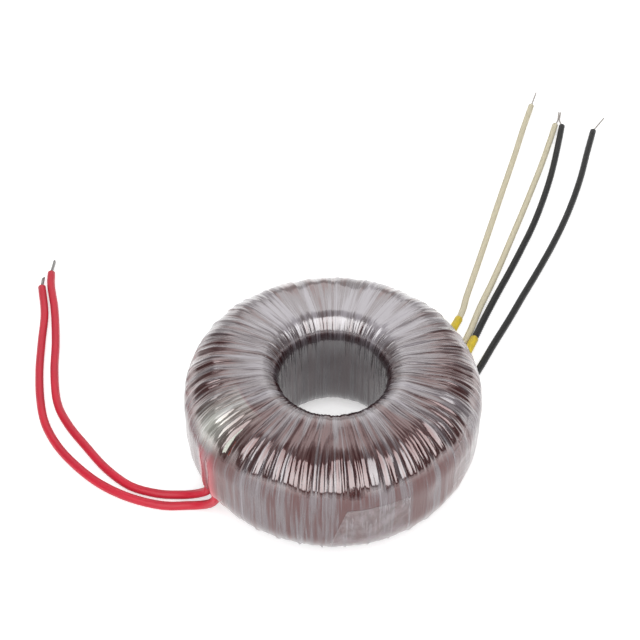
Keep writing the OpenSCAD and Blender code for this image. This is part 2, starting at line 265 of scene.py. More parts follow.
def ring_profile():
    """The wrapped ring's section as a bmesh: four corners bevelled to their own radius.
    Returns the bmesh with only its edges, in metres, in the XZ plane."""
    bm = bmesh.new()
    corners = {"outer_top": (RING_R, RING_H - TOP_FALL), "inner_top": (HOLE_R, RING_H),
               "inner_bottom": (HOLE_R, 0), "outer_bottom": (RING_R, 0)}
    verts = {n: bm.verts.new((x * MM, 0, z * MM)) for n, (x, z) in corners.items()}
    bm.faces.new(verts.values())
    for name, v in verts.items():
        bmesh.ops.bevel(bm, geom=[v], offset=EDGES[name] * MM, affect="VERTICES",
                        segments=max(6, round(EDGES[name] * 1.7)), profile=0.5, material=-1)
    for edge in list(bm.edges):
        cuts = round(edge.calc_length() / MM / 1.1) - 1
        if cuts > 0:
            bmesh.ops.subdivide_edges(bm, edges=[edge], cuts=cuts)
    bmesh.ops.delete(bm, geom=bm.faces[:], context="FACES_ONLY")
    return bm


def waves(*at):
    """Smooth noise at a place, about -1 to 1."""
    return noise.noise(Vector(at))


def smoothstep(low, high, x):
    """0 before low, 1 past high, and a soft step between; low may be the larger."""
    t = min(1, max(0, (x - low) / (high - low)))
    return t * t * (3 - 2 * t)


def bump_at(x, centre, width):
    """A soft hump, 1 at its centre."""
    return math.exp(-((x - centre) / width) ** 2)


def ridged(*at):
    """Noise folded into sharp crests, from 0 in the valleys to 1."""
    return 1 - min(1, abs(waves(*at)) * 2.2)


def lie_of_film(r, z):
    """Where a point of the section lies: how far it faces up (1) or down (-1), and how much
    it is on the outer rim, the top, the hole's edge, the hole's wall and the outer wall."""
    up = smoothstep(20, 34, z)
    down = smoothstep(13, 2, z)
    rim = smoothstep(25.6, 29.8, z) * smoothstep(27.5, 31.5, r)
    top = smoothstep(31, 34, z) * smoothstep(17, 22, r)
    hole = smoothstep(19.5, 15.5, r)
    wall = smoothstep(37.8, 39.2, r) * smoothstep(24.8, 22.8, z)
    return up, down, rim, top, hole, wall


def film_shape(settings, angle, r, z):
    """How far the film stands off the ring's plain surface at a place, in millimetres, and
    its fold there: 0 in a valley, 1 on a crest."""
    c, s = math.cos(angle), math.sin(angle)
    up, down, rim, top, hole, wall = lie_of_film(r, z)
    slant = 0.05 * waves(c * 2.3, s * 2.3, r * 0.05 + 7)
    slanted = angle + slant * (r - 27) / 13
    pace = settings.pleats / 6.28 * 1.45
    slant_c, slant_s = math.cos(slanted), math.sin(slanted)
    run = z * 0.06 + r * 0.055
    wide = ridged(slant_c * pace * 0.45, slant_s * pace * 0.45, run * 0.8 + 3)
    uneven = 0.72 + 0.5 * waves(slant_c * 7, slant_s * 7, r * 0.22 + z * 0.1)
    pleat = ridged(slant_c * pace, slant_s * pace, run) * uneven
    fine = ridged(slant_c * pace * 2.1, slant_s * pace * 2.1, run * 1.3 + 9)
    fold = 0.45 * pleat + 0.35 * wide + 0.2 * fine
    patchy = 0.55 + 0.9 * waves(c * 3.1, s * 3.1, 2.0)
    strength = (0.10 + 0.9 * rim * (0.75 + 0.5 * patchy) + 0.5 * top * patchy + 0.6 * hole * up
                + 0.35 * down + 0.1 * (1 - wall) * (1 - up))
    # the film lies smoother behind
    deep = settings.pleat_depth * min(1.2, strength) * (1 - 0.6 * (0.5 + 0.5 * s) ** 2)
    turn = (angle / math.tau * settings.laps) % 1
    lap = settings.lap_step * (1 - wall * 0.35) * smoothstep(0, 0.06, turn) * (1 - turn)
    slack = (0.25 * waves(c * 3.3, s * 3.3, z * 0.06) + 0.16 * waves(c * 11, s * 11, z * 0.09)
             + 0.34 * waves(slant_c * 8, slant_s * 8, (r - z) * 0.17))
    # the folded edge of each turn makes a nub low on the ring and at the top of its rim
    nub_size = 0.6 + 0.8 * waves(round(angle * 6.4) * 3.7, 5, 1)
    nub = bump_at(turn, 0.5, 0.045) * nub_size * smoothstep(29, 36, r)
    stand = (deep * (fold - 0.55) * 1.6 + lap + slack * (0.35 + rim * 0.6)
             + 0.8 * nub * (smoothstep(11, 3, z) + 0.2 * rim))
    return stand, fold


def film_point(settings, angle, r, z, outward):
    """A point of the film in metres, with its fold and how far it stands off: the plain
    surface's point pushed outward, and further where the two held leads lie under it."""
    stand, fold = film_shape(settings, angle, r, z)
    between = (RUN_ANGLES[0] - RUN_ANGLES[1]) / 2
    for run_angle in RUN_ANGLES:
        off = (math.degrees(angle) - run_angle + 180) % 360 - 180
        over = bump_at(off * math.pi / 180 * RING_R, 0, 1.5)
        held = smoothstep(RUN_FROM - 3, RUN_FROM + 1, z) * smoothstep(RUN_TO + 4, RUN_TO - 1, z)
        if r > 30:
            stand += 0.62 * over * held + 0.12 * held * bump_at(off, between, 4)
    c, s = math.cos(angle), math.sin(angle)
    x, y = r + outward[0] * stand, z + outward[1] * stand
    return Vector((x * c, x * s, max(0.0, y))) * MM, fold, stand


def section_points():
    """The section's points in order, in millimetres, with the direction outward at each."""
    bm = ring_profile()
    start = min(bm.verts, key=lambda v: (v.co.z, abs(v.co.x - 0.0245)))
    order, here, before = [start], start, None
    while True:
        onward = [e.other_vert(here) for e in here.link_edges if e.other_vert(here) != before]
        onward.sort(key=lambda v: -v.co.x if len(order) == 1 else 0)
        if onward[0] == start:
            break
        here, before = onward[0], here
        order.append(here)
    places = [(v.co.x / MM, v.co.z / MM) for v in order]
    bm.free()
    outward = []
    for i, (x, z) in enumerate(places):
        (ax, az), (bx, bz) = places[i - 1], places[(i + 1) % len(places)]
        n = Vector((bz - az, ax - bx)).normalized()
        outward.append((n.x, n.y))
    return places, outward


def running_length(places):
    """How far along the section each of its points lies, in millimetres."""
    along = [0.0]
    for (ar, az), (br, bz) in zip(places, places[1:]):
        along.append(along[-1] + math.hypot(br - ar, bz - az))
    return along


def wall_run(z):
    """Distance along the section to a height on the outer wall or its top rim."""
    places = section_points()[0]
    near = [(abs(height - z), run) for (r, height), run in zip(places, running_length(places)) if r > 28]
    return min(near)[1]


def film_depth(angle, r, z, fold):
    """How much the film's coat shines at a place, and how milky the film is there: partly the
    layers' depth, partly a painted haze that is lighter towards the back of the ring and leaves the front
    darker.
    """
    up, down, rim, top, hole, _ = lie_of_film(r, z)
    c, s = math.cos(angle), math.sin(angle)
    patch = waves(c * 3.4, s * 3.4, 5 + r * 0.03) + 0.6 * waves(c * 9, s * 9, 2 + r * 0.03)
    tongue = 6 * waves(c * 15, s * 15, 8)
    # painted light: here and in behind, the milk reaches further out on the back of the ring, a painted
    # haze of the back lamp, and the front is left darker
    inner = smoothstep(29.5 + 3 * s + tongue, 21.5 + 3 * s + tongue, r)
    behind = 0.5 + 0.5 * s
    below = smoothstep(29.4, 27.6, z) if r > 30 else 0.0
    gloss = 0.3 + 0.7 * up * (1 - below) * (1 - top * (0.7 - 0.4 * behind)) + 0.15 * down
    milk_and_painted_haze = (up * (0.02 + 0.36 * inner * (1 - hole) + 0.34 * behind) * (1 - 0.5 * below)
            + (0.16 + 0.14 * behind) * below * (1 - down) + 0.1 * hole + 0.34 * down
            + 0.42 * patch * up + 0.3 * (fold - 0.5) * rim
            + 0.7 * (fold - 0.5) * top * (1 - behind))
    return gloss, milk_and_painted_haze


def seen_through_and_hole_shade(angle, r, z, red, fleece):
    """The colour laid on the film at a place and, as its alpha, how strongly: the red leads held
    against the wall and the pad over their joints, which show through the film, and in the hole a painted
    shade."""
    *_, hole, _ = lie_of_film(r, z)
    colour, strength = red[:3], 0.0
    if r < 20:
        # painted shade: a dark grey laid over the hole's wall below its top edge, where the bore lies in
        # shade
        colour, strength = linear("#464347")[:3], 0.75 * hole * smoothstep(32.5, 27, z)
    degrees = math.degrees(angle) % 360
    if r > 28:
        for run_angle in RUN_ANGLES:
            near = bump_at(math.radians(degrees - run_angle) * r, 0, 1.9)
            shown = 0.6 * smoothstep(29, 22, z) + 0.38 * smoothstep(17, 9, z)
            strength = max(strength, near * smoothstep(3, 6, z) * shown)
    pad = bump_at(math.radians(degrees - PAD_ANGLE) * r, 0, 5.2) * bump_at(z, PAD_HEIGHT, 3.4)
    if r > 26 and pad > strength:
        colour, strength = fleece[:3], 0.8 * pad
    return (*colour, strength)


# ---- finishes ----

def lay(tree, scale=(1, 1, 1)):
    """A piece's own coordinates, in millimetres across and along its surface, stretched."""
    own = node(tree, "ShaderNodeAttribute", attribute_name="lay")
    return node(tree, "ShaderNodeMapping", {"Vector": own.outputs["Vector"]}, Scale=scale).outputs[0]


def in_mm(tree, scale=(1, 1, 1)):
    """The part's own coordinates in millimetres, stretched, for a piece with no lay."""
    own = node(tree, "ShaderNodeTexCoord")
    return node(tree, "ShaderNodeMapping", {"Vector": own.outputs["Object"]},
                Scale=tuple(1000 * s for s in scale)).outputs[0]


def two_toned(tree, shader, tones, tint, rough, bump):
    """What the plain finishes share. The colour goes from the first tone to the second as
    tint's value crosses its two limits, the roughness lies between two values, and the bumps
    have a strength and a depth in metres: each of the three is (source, number, number)."""
    blend = node(tree, "ShaderNodeMapRange", {"Value": tint[0]}, From_Min=tint[1], From_Max=tint[2])
    base = node(tree, "ShaderNodeMix", {"Factor": blend.outputs[0]}, data_type="RGBA",
                A_Color=tuple(tones[0]), B_Color=tuple(tones[1]))
    tree.links.new(base.outputs["Result"], shader.inputs["Base Color"])
    worn = node(tree, "ShaderNodeMapRange", {"Value": rough[0]}, From_Min=0.3, From_Max=0.7,
                To_Min=rough[1], To_Max=rough[2])
    tree.links.new(worn.outputs[0], shader.inputs["Roughness"])
    relief = node(tree, "ShaderNodeBump", {"Height": bump[0]}, Strength=bump[1], Distance=bump[2])
    tree.links.new(relief.outputs[0], shader.inputs["Normal"])


def film_finish(ring):
    """Clear polyester film, ten or more layers deep, over enamelled copper wire. Each layer
    adds two mirror-smooth faces, so the stack shines far more than one pane; where layers
    pile up towards the hole, the air between them turns it milky. Towards the back of the
    ring it is also painted milkier, a painted haze, and the hole holds a painted shade."""
    mat, tree, shader = new_material("lapped polyester film over enamelled copper")
    # the milk attribute is the layers' depth and also a painted haze that makes the back of the ring
    # milkier than its front
    milk_and_painted_haze = node(tree, "ShaderNodeAttribute", attribute_name="milk_and_painted_haze").outputs["Fac"]
    # the show attribute holds the leads and pad seen through the film, and the painted shade in the hole
    show_and_painted_shade = node(tree, "ShaderNodeAttribute", attribute_name="show_and_painted_shade")
    # streaks about 0.5 and 2 mm wide that run the way the film was wrapped
    fine = node(tree, "ShaderNodeTexNoise", {"Vector": lay(tree, (1, 1, 0.04))}, Scale=1.9, Detail=3.0,
                Roughness=0.6).outputs[0]
    broad = node(tree, "ShaderNodeTexNoise", {"Vector": lay(tree, (1, 1, 0.05))}, Scale=0.42, Detail=3.0,
                 Roughness=0.6).outputs[0]
    mixed = node(tree, "ShaderNodeMix", {"A": broad, "B": fine}, data_type="FLOAT",
                 Factor_Float=0.4).outputs["Result"]
    streaks = node(tree, "ShaderNodeMapRange", {"Value": mixed}, From_Min=0.33, From_Max=0.67).outputs[0]
    # how milky it looks here: the layers' depth with the painted haze on the back of the ring, less in the
    # clear stripes
    dense = node(tree, "ShaderNodeMath", {0: streaks, 1: milk_and_painted_haze}, operation="ADD").outputs[0]
    thin = node(tree, "ShaderNodeMapRange", {"Value": dense}, From_Min=0.5, From_Max=0.85,
                interpolation_type="SMOOTHSTEP").outputs[0]
    thick = node(tree, "ShaderNodeMapRange", {"Value": dense}, From_Min=0.85, From_Max=1.4,
                 interpolation_type="SMOOTHSTEP").outputs[0]
    under = node(tree, "ShaderNodeMix", {"Factor": thin}, data_type="RGBA", A_Color=tuple(ring.clear),
                 B_Color=tuple(ring.blush))
    body = node(tree, "ShaderNodeMix", {"Factor": thick, "A": under.outputs["Result"]}, data_type="RGBA",
                B_Color=tuple(ring.milky))
    seen = node(tree, "ShaderNodeMix",
                {"Factor": show_and_painted_shade.outputs["Alpha"], "A": body.outputs["Result"],
                 "B": show_and_painted_shade.outputs["Color"]}, data_type="RGBA")
    tree.links.new(seen.outputs["Result"], shader.inputs["Base Color"])
    # clear film mirrors more than milky film does
    mirror = node(tree, "ShaderNodeMapRange", {"Value": dense}, From_Min=0.5, From_Max=1.3, To_Min=0.6,
                  To_Max=0.15).outputs[0]
    tree.links.new(mirror, shader.inputs["Metallic"])
    rough = node(tree, "ShaderNodeMapRange", {"Value": dense}, From_Min=0.5, From_Max=1.3, To_Min=0.14,
                 To_Max=0.36).outputs[0]
    tree.links.new(rough, shader.inputs["Roughness"])
    gloss = node(tree, "ShaderNodeAttribute", attribute_name="gloss").outputs["Fac"]
    tree.links.new(gloss, shader.inputs["Coat Weight"])
    shader.inputs["Coat Roughness"].default_value = 0.04
    # a few panes together send back a fifth of the light, as one face of this index does
    shader.inputs["Coat IOR"].default_value = 2.7
    # crinkles about a millimetre across, with the fine streaks over them
    crinkle = node(tree, "ShaderNodeTexNoise", {"Vector": lay(tree, (1, 1, 0.12))}, Scale=1.1, Detail=5.0,
                   Roughness=0.62, Distortion=0.3).outputs[0]
    rise = node(tree, "ShaderNodeMix", {"A": crinkle, "B": fine}, data_type="FLOAT",
                Factor_Float=0.35).outputs["Result"]
    bump = node(tree, "ShaderNodeBump", {"Height": rise}, Strength=0.55, Distance=0.00022)
    tree.links.new(bump.outputs[0], shader.inputs["Normal"])
    tree.links.new(bump.outputs[0], shader.inputs["Coat Normal"])
    return mat


def clear_tape_finish(name):
    """One loose layer of clear polyester: glossy, faintly milky, with bright crinkles."""
    mat, tree, shader = new_material(name)
    rough = node(tree, "ShaderNodeTexNoise", {"Vector": in_mm(tree)}, Scale=0.35, Detail=4.0).outputs[0]
    haze = node(tree, "ShaderNodeMapRange", {"Value": rough}, From_Min=0.35, From_Max=0.7, To_Min=0.04,
                To_Max=0.17).outputs[0]
    # edge: the pale line along the patch's edges, partly the cut edge and partly a painted highlight
    edge = node(tree, "ShaderNodeAttribute", attribute_name="edge").outputs["Fac"]
    alpha = node(tree, "ShaderNodeMath", {0: haze, 1: edge}, operation="MAXIMUM").outputs[0]
    tree.links.new(alpha, shader.inputs["Alpha"])
    shader.inputs["Base Color"].default_value = linear("#D9D3D6")
    shader.inputs["Roughness"].default_value = 0.16
    shader.inputs["Coat Weight"].default_value = 0.6
    crinkle = node(tree, "ShaderNodeTexNoise", {"Vector": in_mm(tree)}, Scale=0.8, Detail=3.0,
                   Distortion=1.2)
    bump = node(tree, "ShaderNodeBump", {"Height": crinkle.outputs[0]}, Strength=0.5, Distance=0.0002)
    tree.links.new(bump.outputs[0], shader.inputs["Normal"])
    return mat


def insulation_finish(leads):
    """Soft extruded insulation, red: a low even gloss, slight orange peel and dust."""
    mat, tree, shader = new_material("extruded red insulation")
    peel = node(tree, "ShaderNodeTexNoise", {"Vector": lay(tree)}, Scale=2.2, Detail=4.0).outputs[0]
    streak = node(tree, "ShaderNodeTexNoise", {"Vector": lay(tree, (1, 1, 0.1))}, Scale=0.8,
                  Detail=3.0).outputs[0]
    dark = [c * 0.82 for c in leads.red[:3]] + [1]
    two_toned(tree, shader, (dark, leads.red), (streak, 0.35, 0.65), (peel, 0.34, 0.5),
              (peel, 0.25, 0.00008))
    shader.inputs["IOR"].default_value = 1.5
    return mat


def sleeving_finish(name, colour, gloss):
    """Varnished glass-fibre braid: two sets of yarns wind round the sleeve the two ways, about
    0.5 mm apart, under a thin uneven varnish."""
    mat, tree, shader = new_material(name)
    own = node(tree, "ShaderNodeAttribute", attribute_name="lay").outputs["Vector"]
    parts = node(tree, "ShaderNodeSeparateXYZ", {"Vector": own})
    around = node(tree, "ShaderNodeMath", {0: parts.outputs["Y"], 1: parts.outputs["X"]},
                  operation="ARCTAN2").outputs[0]
    turns = node(tree, "ShaderNodeMath", {0: around}, operation="MULTIPLY", Value_001=8.0).outputs[0]
    yarns = []
    for pitch in (8.5, -8.5):
        climb = node(tree, "ShaderNodeMath", {0: parts.outputs["Z"], 2: turns}, operation="MULTIPLY_ADD",
                     Value_001=pitch).outputs[0]
        yarns.append(node(tree, "ShaderNodeMath", {0: climb}, operation="SINE").outputs[0])
    weave = node(tree, "ShaderNodeMath", {0: yarns[0], 1: yarns[1]}, operation="MAXIMUM").outputs[0]
    fuzz = node(tree, "ShaderNodeTexNoise", {"Vector": lay(tree, (1, 1, 0.5))}, Scale=1.4,
                Detail=4.0).outputs[0]
    low = [c * 0.74 for c in colour[:3]] + [1]
    tone = node(tree, "ShaderNodeMapRange", {"Value": weave}, From_Min=-0.6, From_Max=1.0, To_Min=0.0,
                To_Max=0.75).outputs[0]
    worn = node(tree, "ShaderNodeMath", {0: tone, 1: fuzz}, operation="ADD").outputs[0]
    rise = node(tree, "ShaderNodeMath", {0: weave, 1: fuzz}, operation="ADD").outputs[0]
    two_toned(tree, shader, (low, colour), (worn, 0.3, 1.2), (fuzz, gloss, gloss + 0.16),
              (rise, 0.5, 0.00009))
    return mat


def yellow_finish(leads):
    """Polyester sleeving, yellow: smooth and waxy, scuffed along its length."""
    mat, tree, shader = new_material("yellow polyester sleeving")
    scuff = node(tree, "ShaderNodeTexNoise", {"Vector": lay(tree, (1, 1, 0.3))}, Scale=1.5,
                 Detail=5.0).outputs[0]
    dark = [c * 0.72 for c in leads.yellow[:3]] + [1]
    two_toned(tree, shader, (dark, leads.yellow), (scuff, 0.3, 0.62), (scuff, 0.3, 0.5),
              (scuff, 0.3, 0.0001))
    return mat


def wire_finish(name, bright, dull):
    """Drawn wire: bare metal with fine draw lines and duller patches where it was handled."""
    mat, tree, shader = new_material(name)
    drawn = node(tree, "ShaderNodeTexNoise", {"Vector": lay(tree, (6, 6, 0.4))}, Scale=1.6,
                 Detail=3.0).outputs[0]
    two_toned(tree, shader, (linear(dull), linear(bright)), (drawn, 0.35, 0.65),
              (drawn, 0.24, 0.42), (drawn, 0.3, 0.00003))
    shader.inputs["Metallic"].default_value = 1.0
    return mat


def inner_finish(name, low, high, grain, stretch, rough, metallic=0.0):
    """A surface inside the ring: two tones, given as sRGB hex, in a grain of a size in
    millimetres."""
    mat, tree, shader = new_material(name)
    tex = node(tree, "ShaderNodeTexNoise", {"Vector": in_mm(tree, stretch)}, Scale=1 / grain, Detail=5.0,
               Roughness=0.6).outputs[0]
    two_toned(tree, shader, (linear(low), linear(high)), (tex, 0.35, 0.65),
              (tex, rough, rough + 0.2), (tex, 0.4, 0.00006))
    shader.inputs["Metallic"].default_value = metallic
    return mat


# ---- operators ----

class TRANSFORMER_OT_camera(bpy.types.Operator):
    """Set up the camera in front of the ring and above it"""
    bl_idname = "transformer.camera"
    bl_label = "Camera"

    def execute(self, context):
        data = bpy.data.cameras.new("camera")
        data.lens = context.scene.transformer_studio.lens
        data.sensor_width = 36
        data.clip_start, data.clip_end = 0.01, 20
        camera = bpy.data.objects.new("camera", data)
        context.scene.collection.objects.link(camera)
        camera.location = CAMERA_PLACE
        aim = Vector(CAMERA_AIM) - camera.location
        camera.rotation_euler = aim.to_track_quat("-Z", "Y").to_euler()
        context.scene.camera = camera
        return {"FINISHED"}


def lead_piece(name, route, diameter, material, replaces):
    """A lead's covering along its route, with its cut end a little rounded."""
    bm = bmesh.new()
    laid = bm.verts.layers.float_vector.new("lay")
    path = smooth_route(route, diameter * 0.9)
    radii = [diameter / 2 * (1 + 0.012 * waves(i * 0.35, len(name), 0)) for i in range(len(path))]
    last = (path[-1] - path[-2]).normalized()
    path += [path[-1] + last * diameter * 0.02, path[-1] + last * diameter * 0.05]
    radii += [diameter / 2 * 0.97, diameter / 2 * (1 - END_ROUND)]
    sweep_tube(bm, path, radii, 20, laid)
    piece = finished(name, bm, material)
    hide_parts(replaces)
    return piece, path


class TRANSFORMER_OT_primary_leads(bpy.types.Operator):
    """Make the two stranded primary leads with their bared, twisted strands"""
    bl_idname = "transformer.primary_leads"
    bl_label = "Primary leads"

    def execute(self, context):
        leads = context.scene.transformer_leads
        red = insulation_finish(leads)
        tin = wire_finish("tinned copper strands", "#D9D8D6", "#8F8D8B")
        plan = (("a", PRIMARY_ROUTE_A, PRIMARY_TIP_A), ("b", PRIMARY_ROUTE_B, PRIMARY_TIP_B))
        for which, route, tip in plan:
            piece, path = lead_piece(f"primary_insulation_{which}", route, leads.primary_d, red,
                                     f"primary_lead_{which}")
            bm = bmesh.new()
            laid = bm.verts.layers.float_vector.new("lay")
            inward = (Vector(tip[0]) - Vector(tip[1])).normalized() * 0.001
            core = smooth_route([Vector(tip[0]) + inward] + [Vector(p) for p in tip], 0.0003)
            along = (core[-1] - core[0]).normalized()
            across = along.cross(Vector((0, 0, 1))).normalized()
            # strand 0 runs straight and the others twist round it
            for strand in range(STRANDS):
                twisted = []
                for i, point in enumerate(core):
                    turn = strand * math.tau / (STRANDS - 1) + i * STRAND_TWIST
                    spread = STRAND_SPREAD * (1 + 0.25 * (i / len(core)) ** 2) if strand else 0.0
                    outward = across * math.cos(turn) + along.cross(across) * math.sin(turn)
                    twisted.append(point + outward * spread)
                cut = max(4, len(twisted) - (strand * 5) % 4)
                sweep_tube(bm, twisted[:cut], [STRAND_R] * cut, 8, laid)
            strands = finished(f"primary_strands_{which}", bm, tin)
            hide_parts(f"primary_end_{which}")
        return {"FINISHED"}


class TRANSFORMER_OT_secondary_leads(bpy.types.Operator):
    """Make the four sleeved secondary leads, their bare wires and their yellow anchor sleeves"""
    bl_idname = "transformer.secondary_leads"
    bl_label = "Secondary leads"

    def execute(self, context):
        leads = context.scene.transformer_leads
        cream = sleeving_finish("natural glass-fibre sleeving", leads.cream, 0.45)
        black = sleeving_finish("black glass-fibre sleeving", leads.black, 0.36)
        gold = yellow_finish(leads)
        copper = wire_finish("bare winding wire, lightly tinned", "#CFC9C4", "#8A837E")
        plan = (("light_a", LIGHT_ROUTE_A, LIGHT_TIP_A), ("light_b", LIGHT_ROUTE_B, LIGHT_TIP_B),
                ("dark_a", DARK_ROUTE_A, DARK_TIP_A), ("dark_b", DARK_ROUTE_B, DARK_TIP_B))
        for which, route, tip in plan:
            tone, pair = which.split("_")
            finish, diameter = (cream, leads.light_d) if tone == "light" else (black, leads.dark_d)
            piece, path = lead_piece(f"{which}_sleeving", route, diameter, finish,
                                     f"{tone}_lead_{pair}")
            bm = bmesh.new()
            laid = bm.verts.layers.float_vector.new("lay")
            inward = (Vector(route[-2]) - Vector(route[-1])).normalized() * 0.002
            wire_path = smooth_route([Vector(tip[0]) + inward] + [Vector(p) for p in tip], 0.0004)
            sweep_tube(bm, wire_path, [leads.wire_d / 2] * len(wire_path), 10, laid)
            wire = finished(f"{which}_wire", bm, copper)
            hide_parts(f"{tone}_end_{pair}")
            # the anchor sleeve: its outer end turned in to a thin wall
            bm = bmesh.new()
            laid = bm.verts.layers.float_vector.new("lay")
            first, second = Vector(route[0]), Vector(route[1])
            ahead = (second - first).normalized()
            start = first - ahead * SLEEVE_INSIDE
            span = second - first + ahead * SLEEVE_SPARE
            sleeve = [start + span * (i / SLEEVE_STEPS) for i in range(SLEEVE_STEPS + 1)]
            sizes = [leads.anchor_d / 2 * (1 + 0.03 * waves(i * 0.7, len(which), 4))
                     for i in range(SLEEVE_STEPS + 1)]
            sizes[-1] *= 1.03
            outer_end, inner_end = sleeve[-1], sleeve[0]
            sleeve += [outer_end + ahead * 0.00012, outer_end, outer_end - ahead * 0.0015, inner_end]
            bore = diameter / 2 + 0.00006
            sizes += [leads.anchor_d / 2 * 0.97, bore + 0.00002, bore, bore]
            sweep_sleeve(bm, sleeve, sizes, ahead, laid)
            anchor = finished(f"{which}_anchor_sleeve", bm, gold)
            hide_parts(f"anchor_{which}")
        return {"FINISHED"}


def sweep_sleeve(bm, points, sizes, ahead, laid):
    """Circles along a straight sleeve, out over its end and back in, bridged and closed."""
    side = ahead.cross(Vector((0, 0, 1))).normalized()
    turn = Matrix((side, ahead.cross(side), ahead)).transposed()
    first = last = None
    for point, size in zip(points, sizes):
        ring = bmesh.ops.create_circle(bm, cap_ends=False, segments=24, radius=size,
                                       matrix=Matrix.Translation(point) @ turn.to_4x4())["verts"]
        for v in ring:
            across = turn.transposed() @ (v.co - point) / MM
            v[laid] = Vector((across.x, across.y, (point - points[0]).length / MM))
        edges = list({e for v in ring for e in v.link_edges})
        if last:
            bmesh.ops.bridge_loops(bm, edges=last + edges)
        first, last = first or edges, edges
    bmesh.ops.bridge_loops(bm, edges=last + first)
    bmesh.ops.recalc_face_normals(bm, faces=bm.faces[:])


class TRANSFORMER_OT_film_wrap(bpy.types.Operator):
    """Spin the ring's section into the pleated, lapped film wrap"""
    bl_idname = "transformer.film_wrap"
    bl_label = "Film wrap"

    def execute(self, context):
        ring = context.scene.transformer_ring
        places, outward = section_points()
        bm = bmesh.new()
        number = bm.verts.layers.int.new("place")
        verts = [bm.verts.new((r * MM, 0, z * MM)) for r, z in places]
        for i, v in enumerate(verts):
            v[number] = i
        edges = [bm.edges.new((verts[i - 1], verts[i])) for i in range(len(verts))]
        bmesh.ops.spin(bm, geom=verts + edges, cent=(0, 0, 0), axis=(0, 0, 1), angle=math.tau,
                       steps=ring.steps_round, use_merge=True)
        laid = bm.verts.layers.float_vector.new("lay")
        milk_and_painted_haze_layer = bm.verts.layers.float.new("milk_and_painted_haze")
        gloss_layer = bm.verts.layers.float.new("gloss")
        show_and_painted_shade_layer = bm.verts.layers.float_color.new("show_and_painted_shade")
        along = running_length(places)
        red, fleece = leads_red(context), linear("#D6D7CD")
        for v in bm.verts:
            i = v[number]
            r, z = places[i]
            angle = math.atan2(v.co.y, v.co.x)
            v.co, fold, _ = film_point(ring, angle, r, z, outward[i])
            v[laid] = Vector((math.cos(angle) * RING_R, math.sin(angle) * RING_R, along[i]))
            # the milk holds the layers' depth with a painted haze on the back of the ring
            v[gloss_layer], v[milk_and_painted_haze_layer] = film_depth(angle, r, z, fold)
            # show: the leads and pad under the film, with a painted shade in the hole
            v[show_and_painted_shade_layer] = seen_through_and_hole_shade(angle, r, z, red, fleece)
        bmesh.ops.recalc_face_normals(bm, faces=bm.faces[:])
        piece = finished("film_wrap", bm, film_finish(ring))
        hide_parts("outer_wrap")
        return {"FINISHED"}


def leads_red(context):
    """The primary leads' red as it shows through the film."""
    return [0.92 * c + 0.05 for c in context.scene.transformer_leads.red[:3]] + [1]


def slanted_corner(across, up):
    """The closing tape's outline: its upper left corner is cut on a slant."""
    return across + 0.30 * max(0, up - 0.35) * (1 - across), up


def sloping_top(across, up):
    """The loose tail's outline: its upper edge falls towards the left."""
    return across, up - 0.18 * up * (1 - across)


def draped_patch(settings, angles, runs, outline, steps, lift, foot_shows):
    """A patch of film that lies on the wrap, between two angles in degrees and two distances
    along the section, some tenths of a millimetre off it. outline moves a place, given as 0
    to 1 across and up. The left and upper edges carry a pale line, and the lower if it shows:
    partly the film's cut edge, partly a painted highlight."""
    places, outward = section_points()
    along = running_length(places)
    bm = bmesh.new()
    laid = bm.verts.layers.float_vector.new("lay")
    edge = bm.verts.layers.float.new("edge")
    bmesh.ops.create_grid(bm, x_segments=steps[0], y_segments=steps[1], size=0.5)
    for v in bm.verts:
        across, up = v.co.x + 0.5, v.co.y + 0.5
        rim = min(across * 1.5, 1.2 * (1 - up), up + 0.01 if foot_shows else 1)
        fade = smoothstep(1.0, 0.55, across)
        across, up = outline(across, up)
        angle = math.radians(angles[0] + (angles[1] - angles[0]) * across)
        want = runs[0] + (runs[1] - runs[0]) * up
        i = max(j for j in range(len(along)) if along[j] <= want)
        j = min(i + 1, len(along) - 1)
        t = (want - along[i]) / max(1e-6, along[j] - along[i])
        r = places[i][0] * (1 - t) + places[j][0] * t
        z = places[i][1] * (1 - t) + places[j][1] * t
        out = Vector(outward[i]).lerp(Vector(outward[j]), t).normalized()
        flat, _, stand = film_point(settings, angle, r, z, out)
        n = Vector((math.cos(angle) * out.x, math.sin(angle) * out.x, out.y))
        ripple = 0.1 * waves(across * 6, up * 6, 3)
        v.co = flat + n * (lift + 0.06 * max(0, ripple) + max(0.0, -stand) * 0.7) * MM
        v[laid] = Vector((math.cos(angle) * RING_R, math.sin(angle) * RING_R, want))
        # painted highlight: a pale line on the left and upper edges, fading to the right, partly the film's
        # own cut edge
        v[edge] = (0.3 if rim < 0.024 else 0.0) * (0.35 + 0.65 * fade)
    bmesh.ops.solidify(bm, geom=bm.faces[:], thickness=PATCH_THICK * MM)
    bmesh.ops.recalc_face_normals(bm, faces=bm.faces[:])
    return bm


class TRANSFORMER_OT_film_ends(bpy.types.Operator):
    """Lay the closing tape and the film's loose tail on the wrap"""
    bl_idname = "transformer.film_ends"
    bl_label = "Film ends"

    def execute(self, context):
        ring = context.scene.transformer_ring
        finish = clear_tape_finish("clear polyester tape")
        tape = draped_patch(ring, (269, 299), (wall_run(4), wall_run(23.6)), slanted_corner, (60, 40),
                            lift=0.1, foot_shows=False)
        piece = finished("closing_film", tape, finish)
        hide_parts("closing_tape")
        tail = draped_patch(ring, (321, 339), (wall_run(14.5), wall_run(30)), sloping_top, (50, 40),
                            lift=0.11, foot_shows=True)
        piece = finished("loose_film_tail", tail, finish)
        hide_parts("wrap_tail")
        return {"FINISHED"}


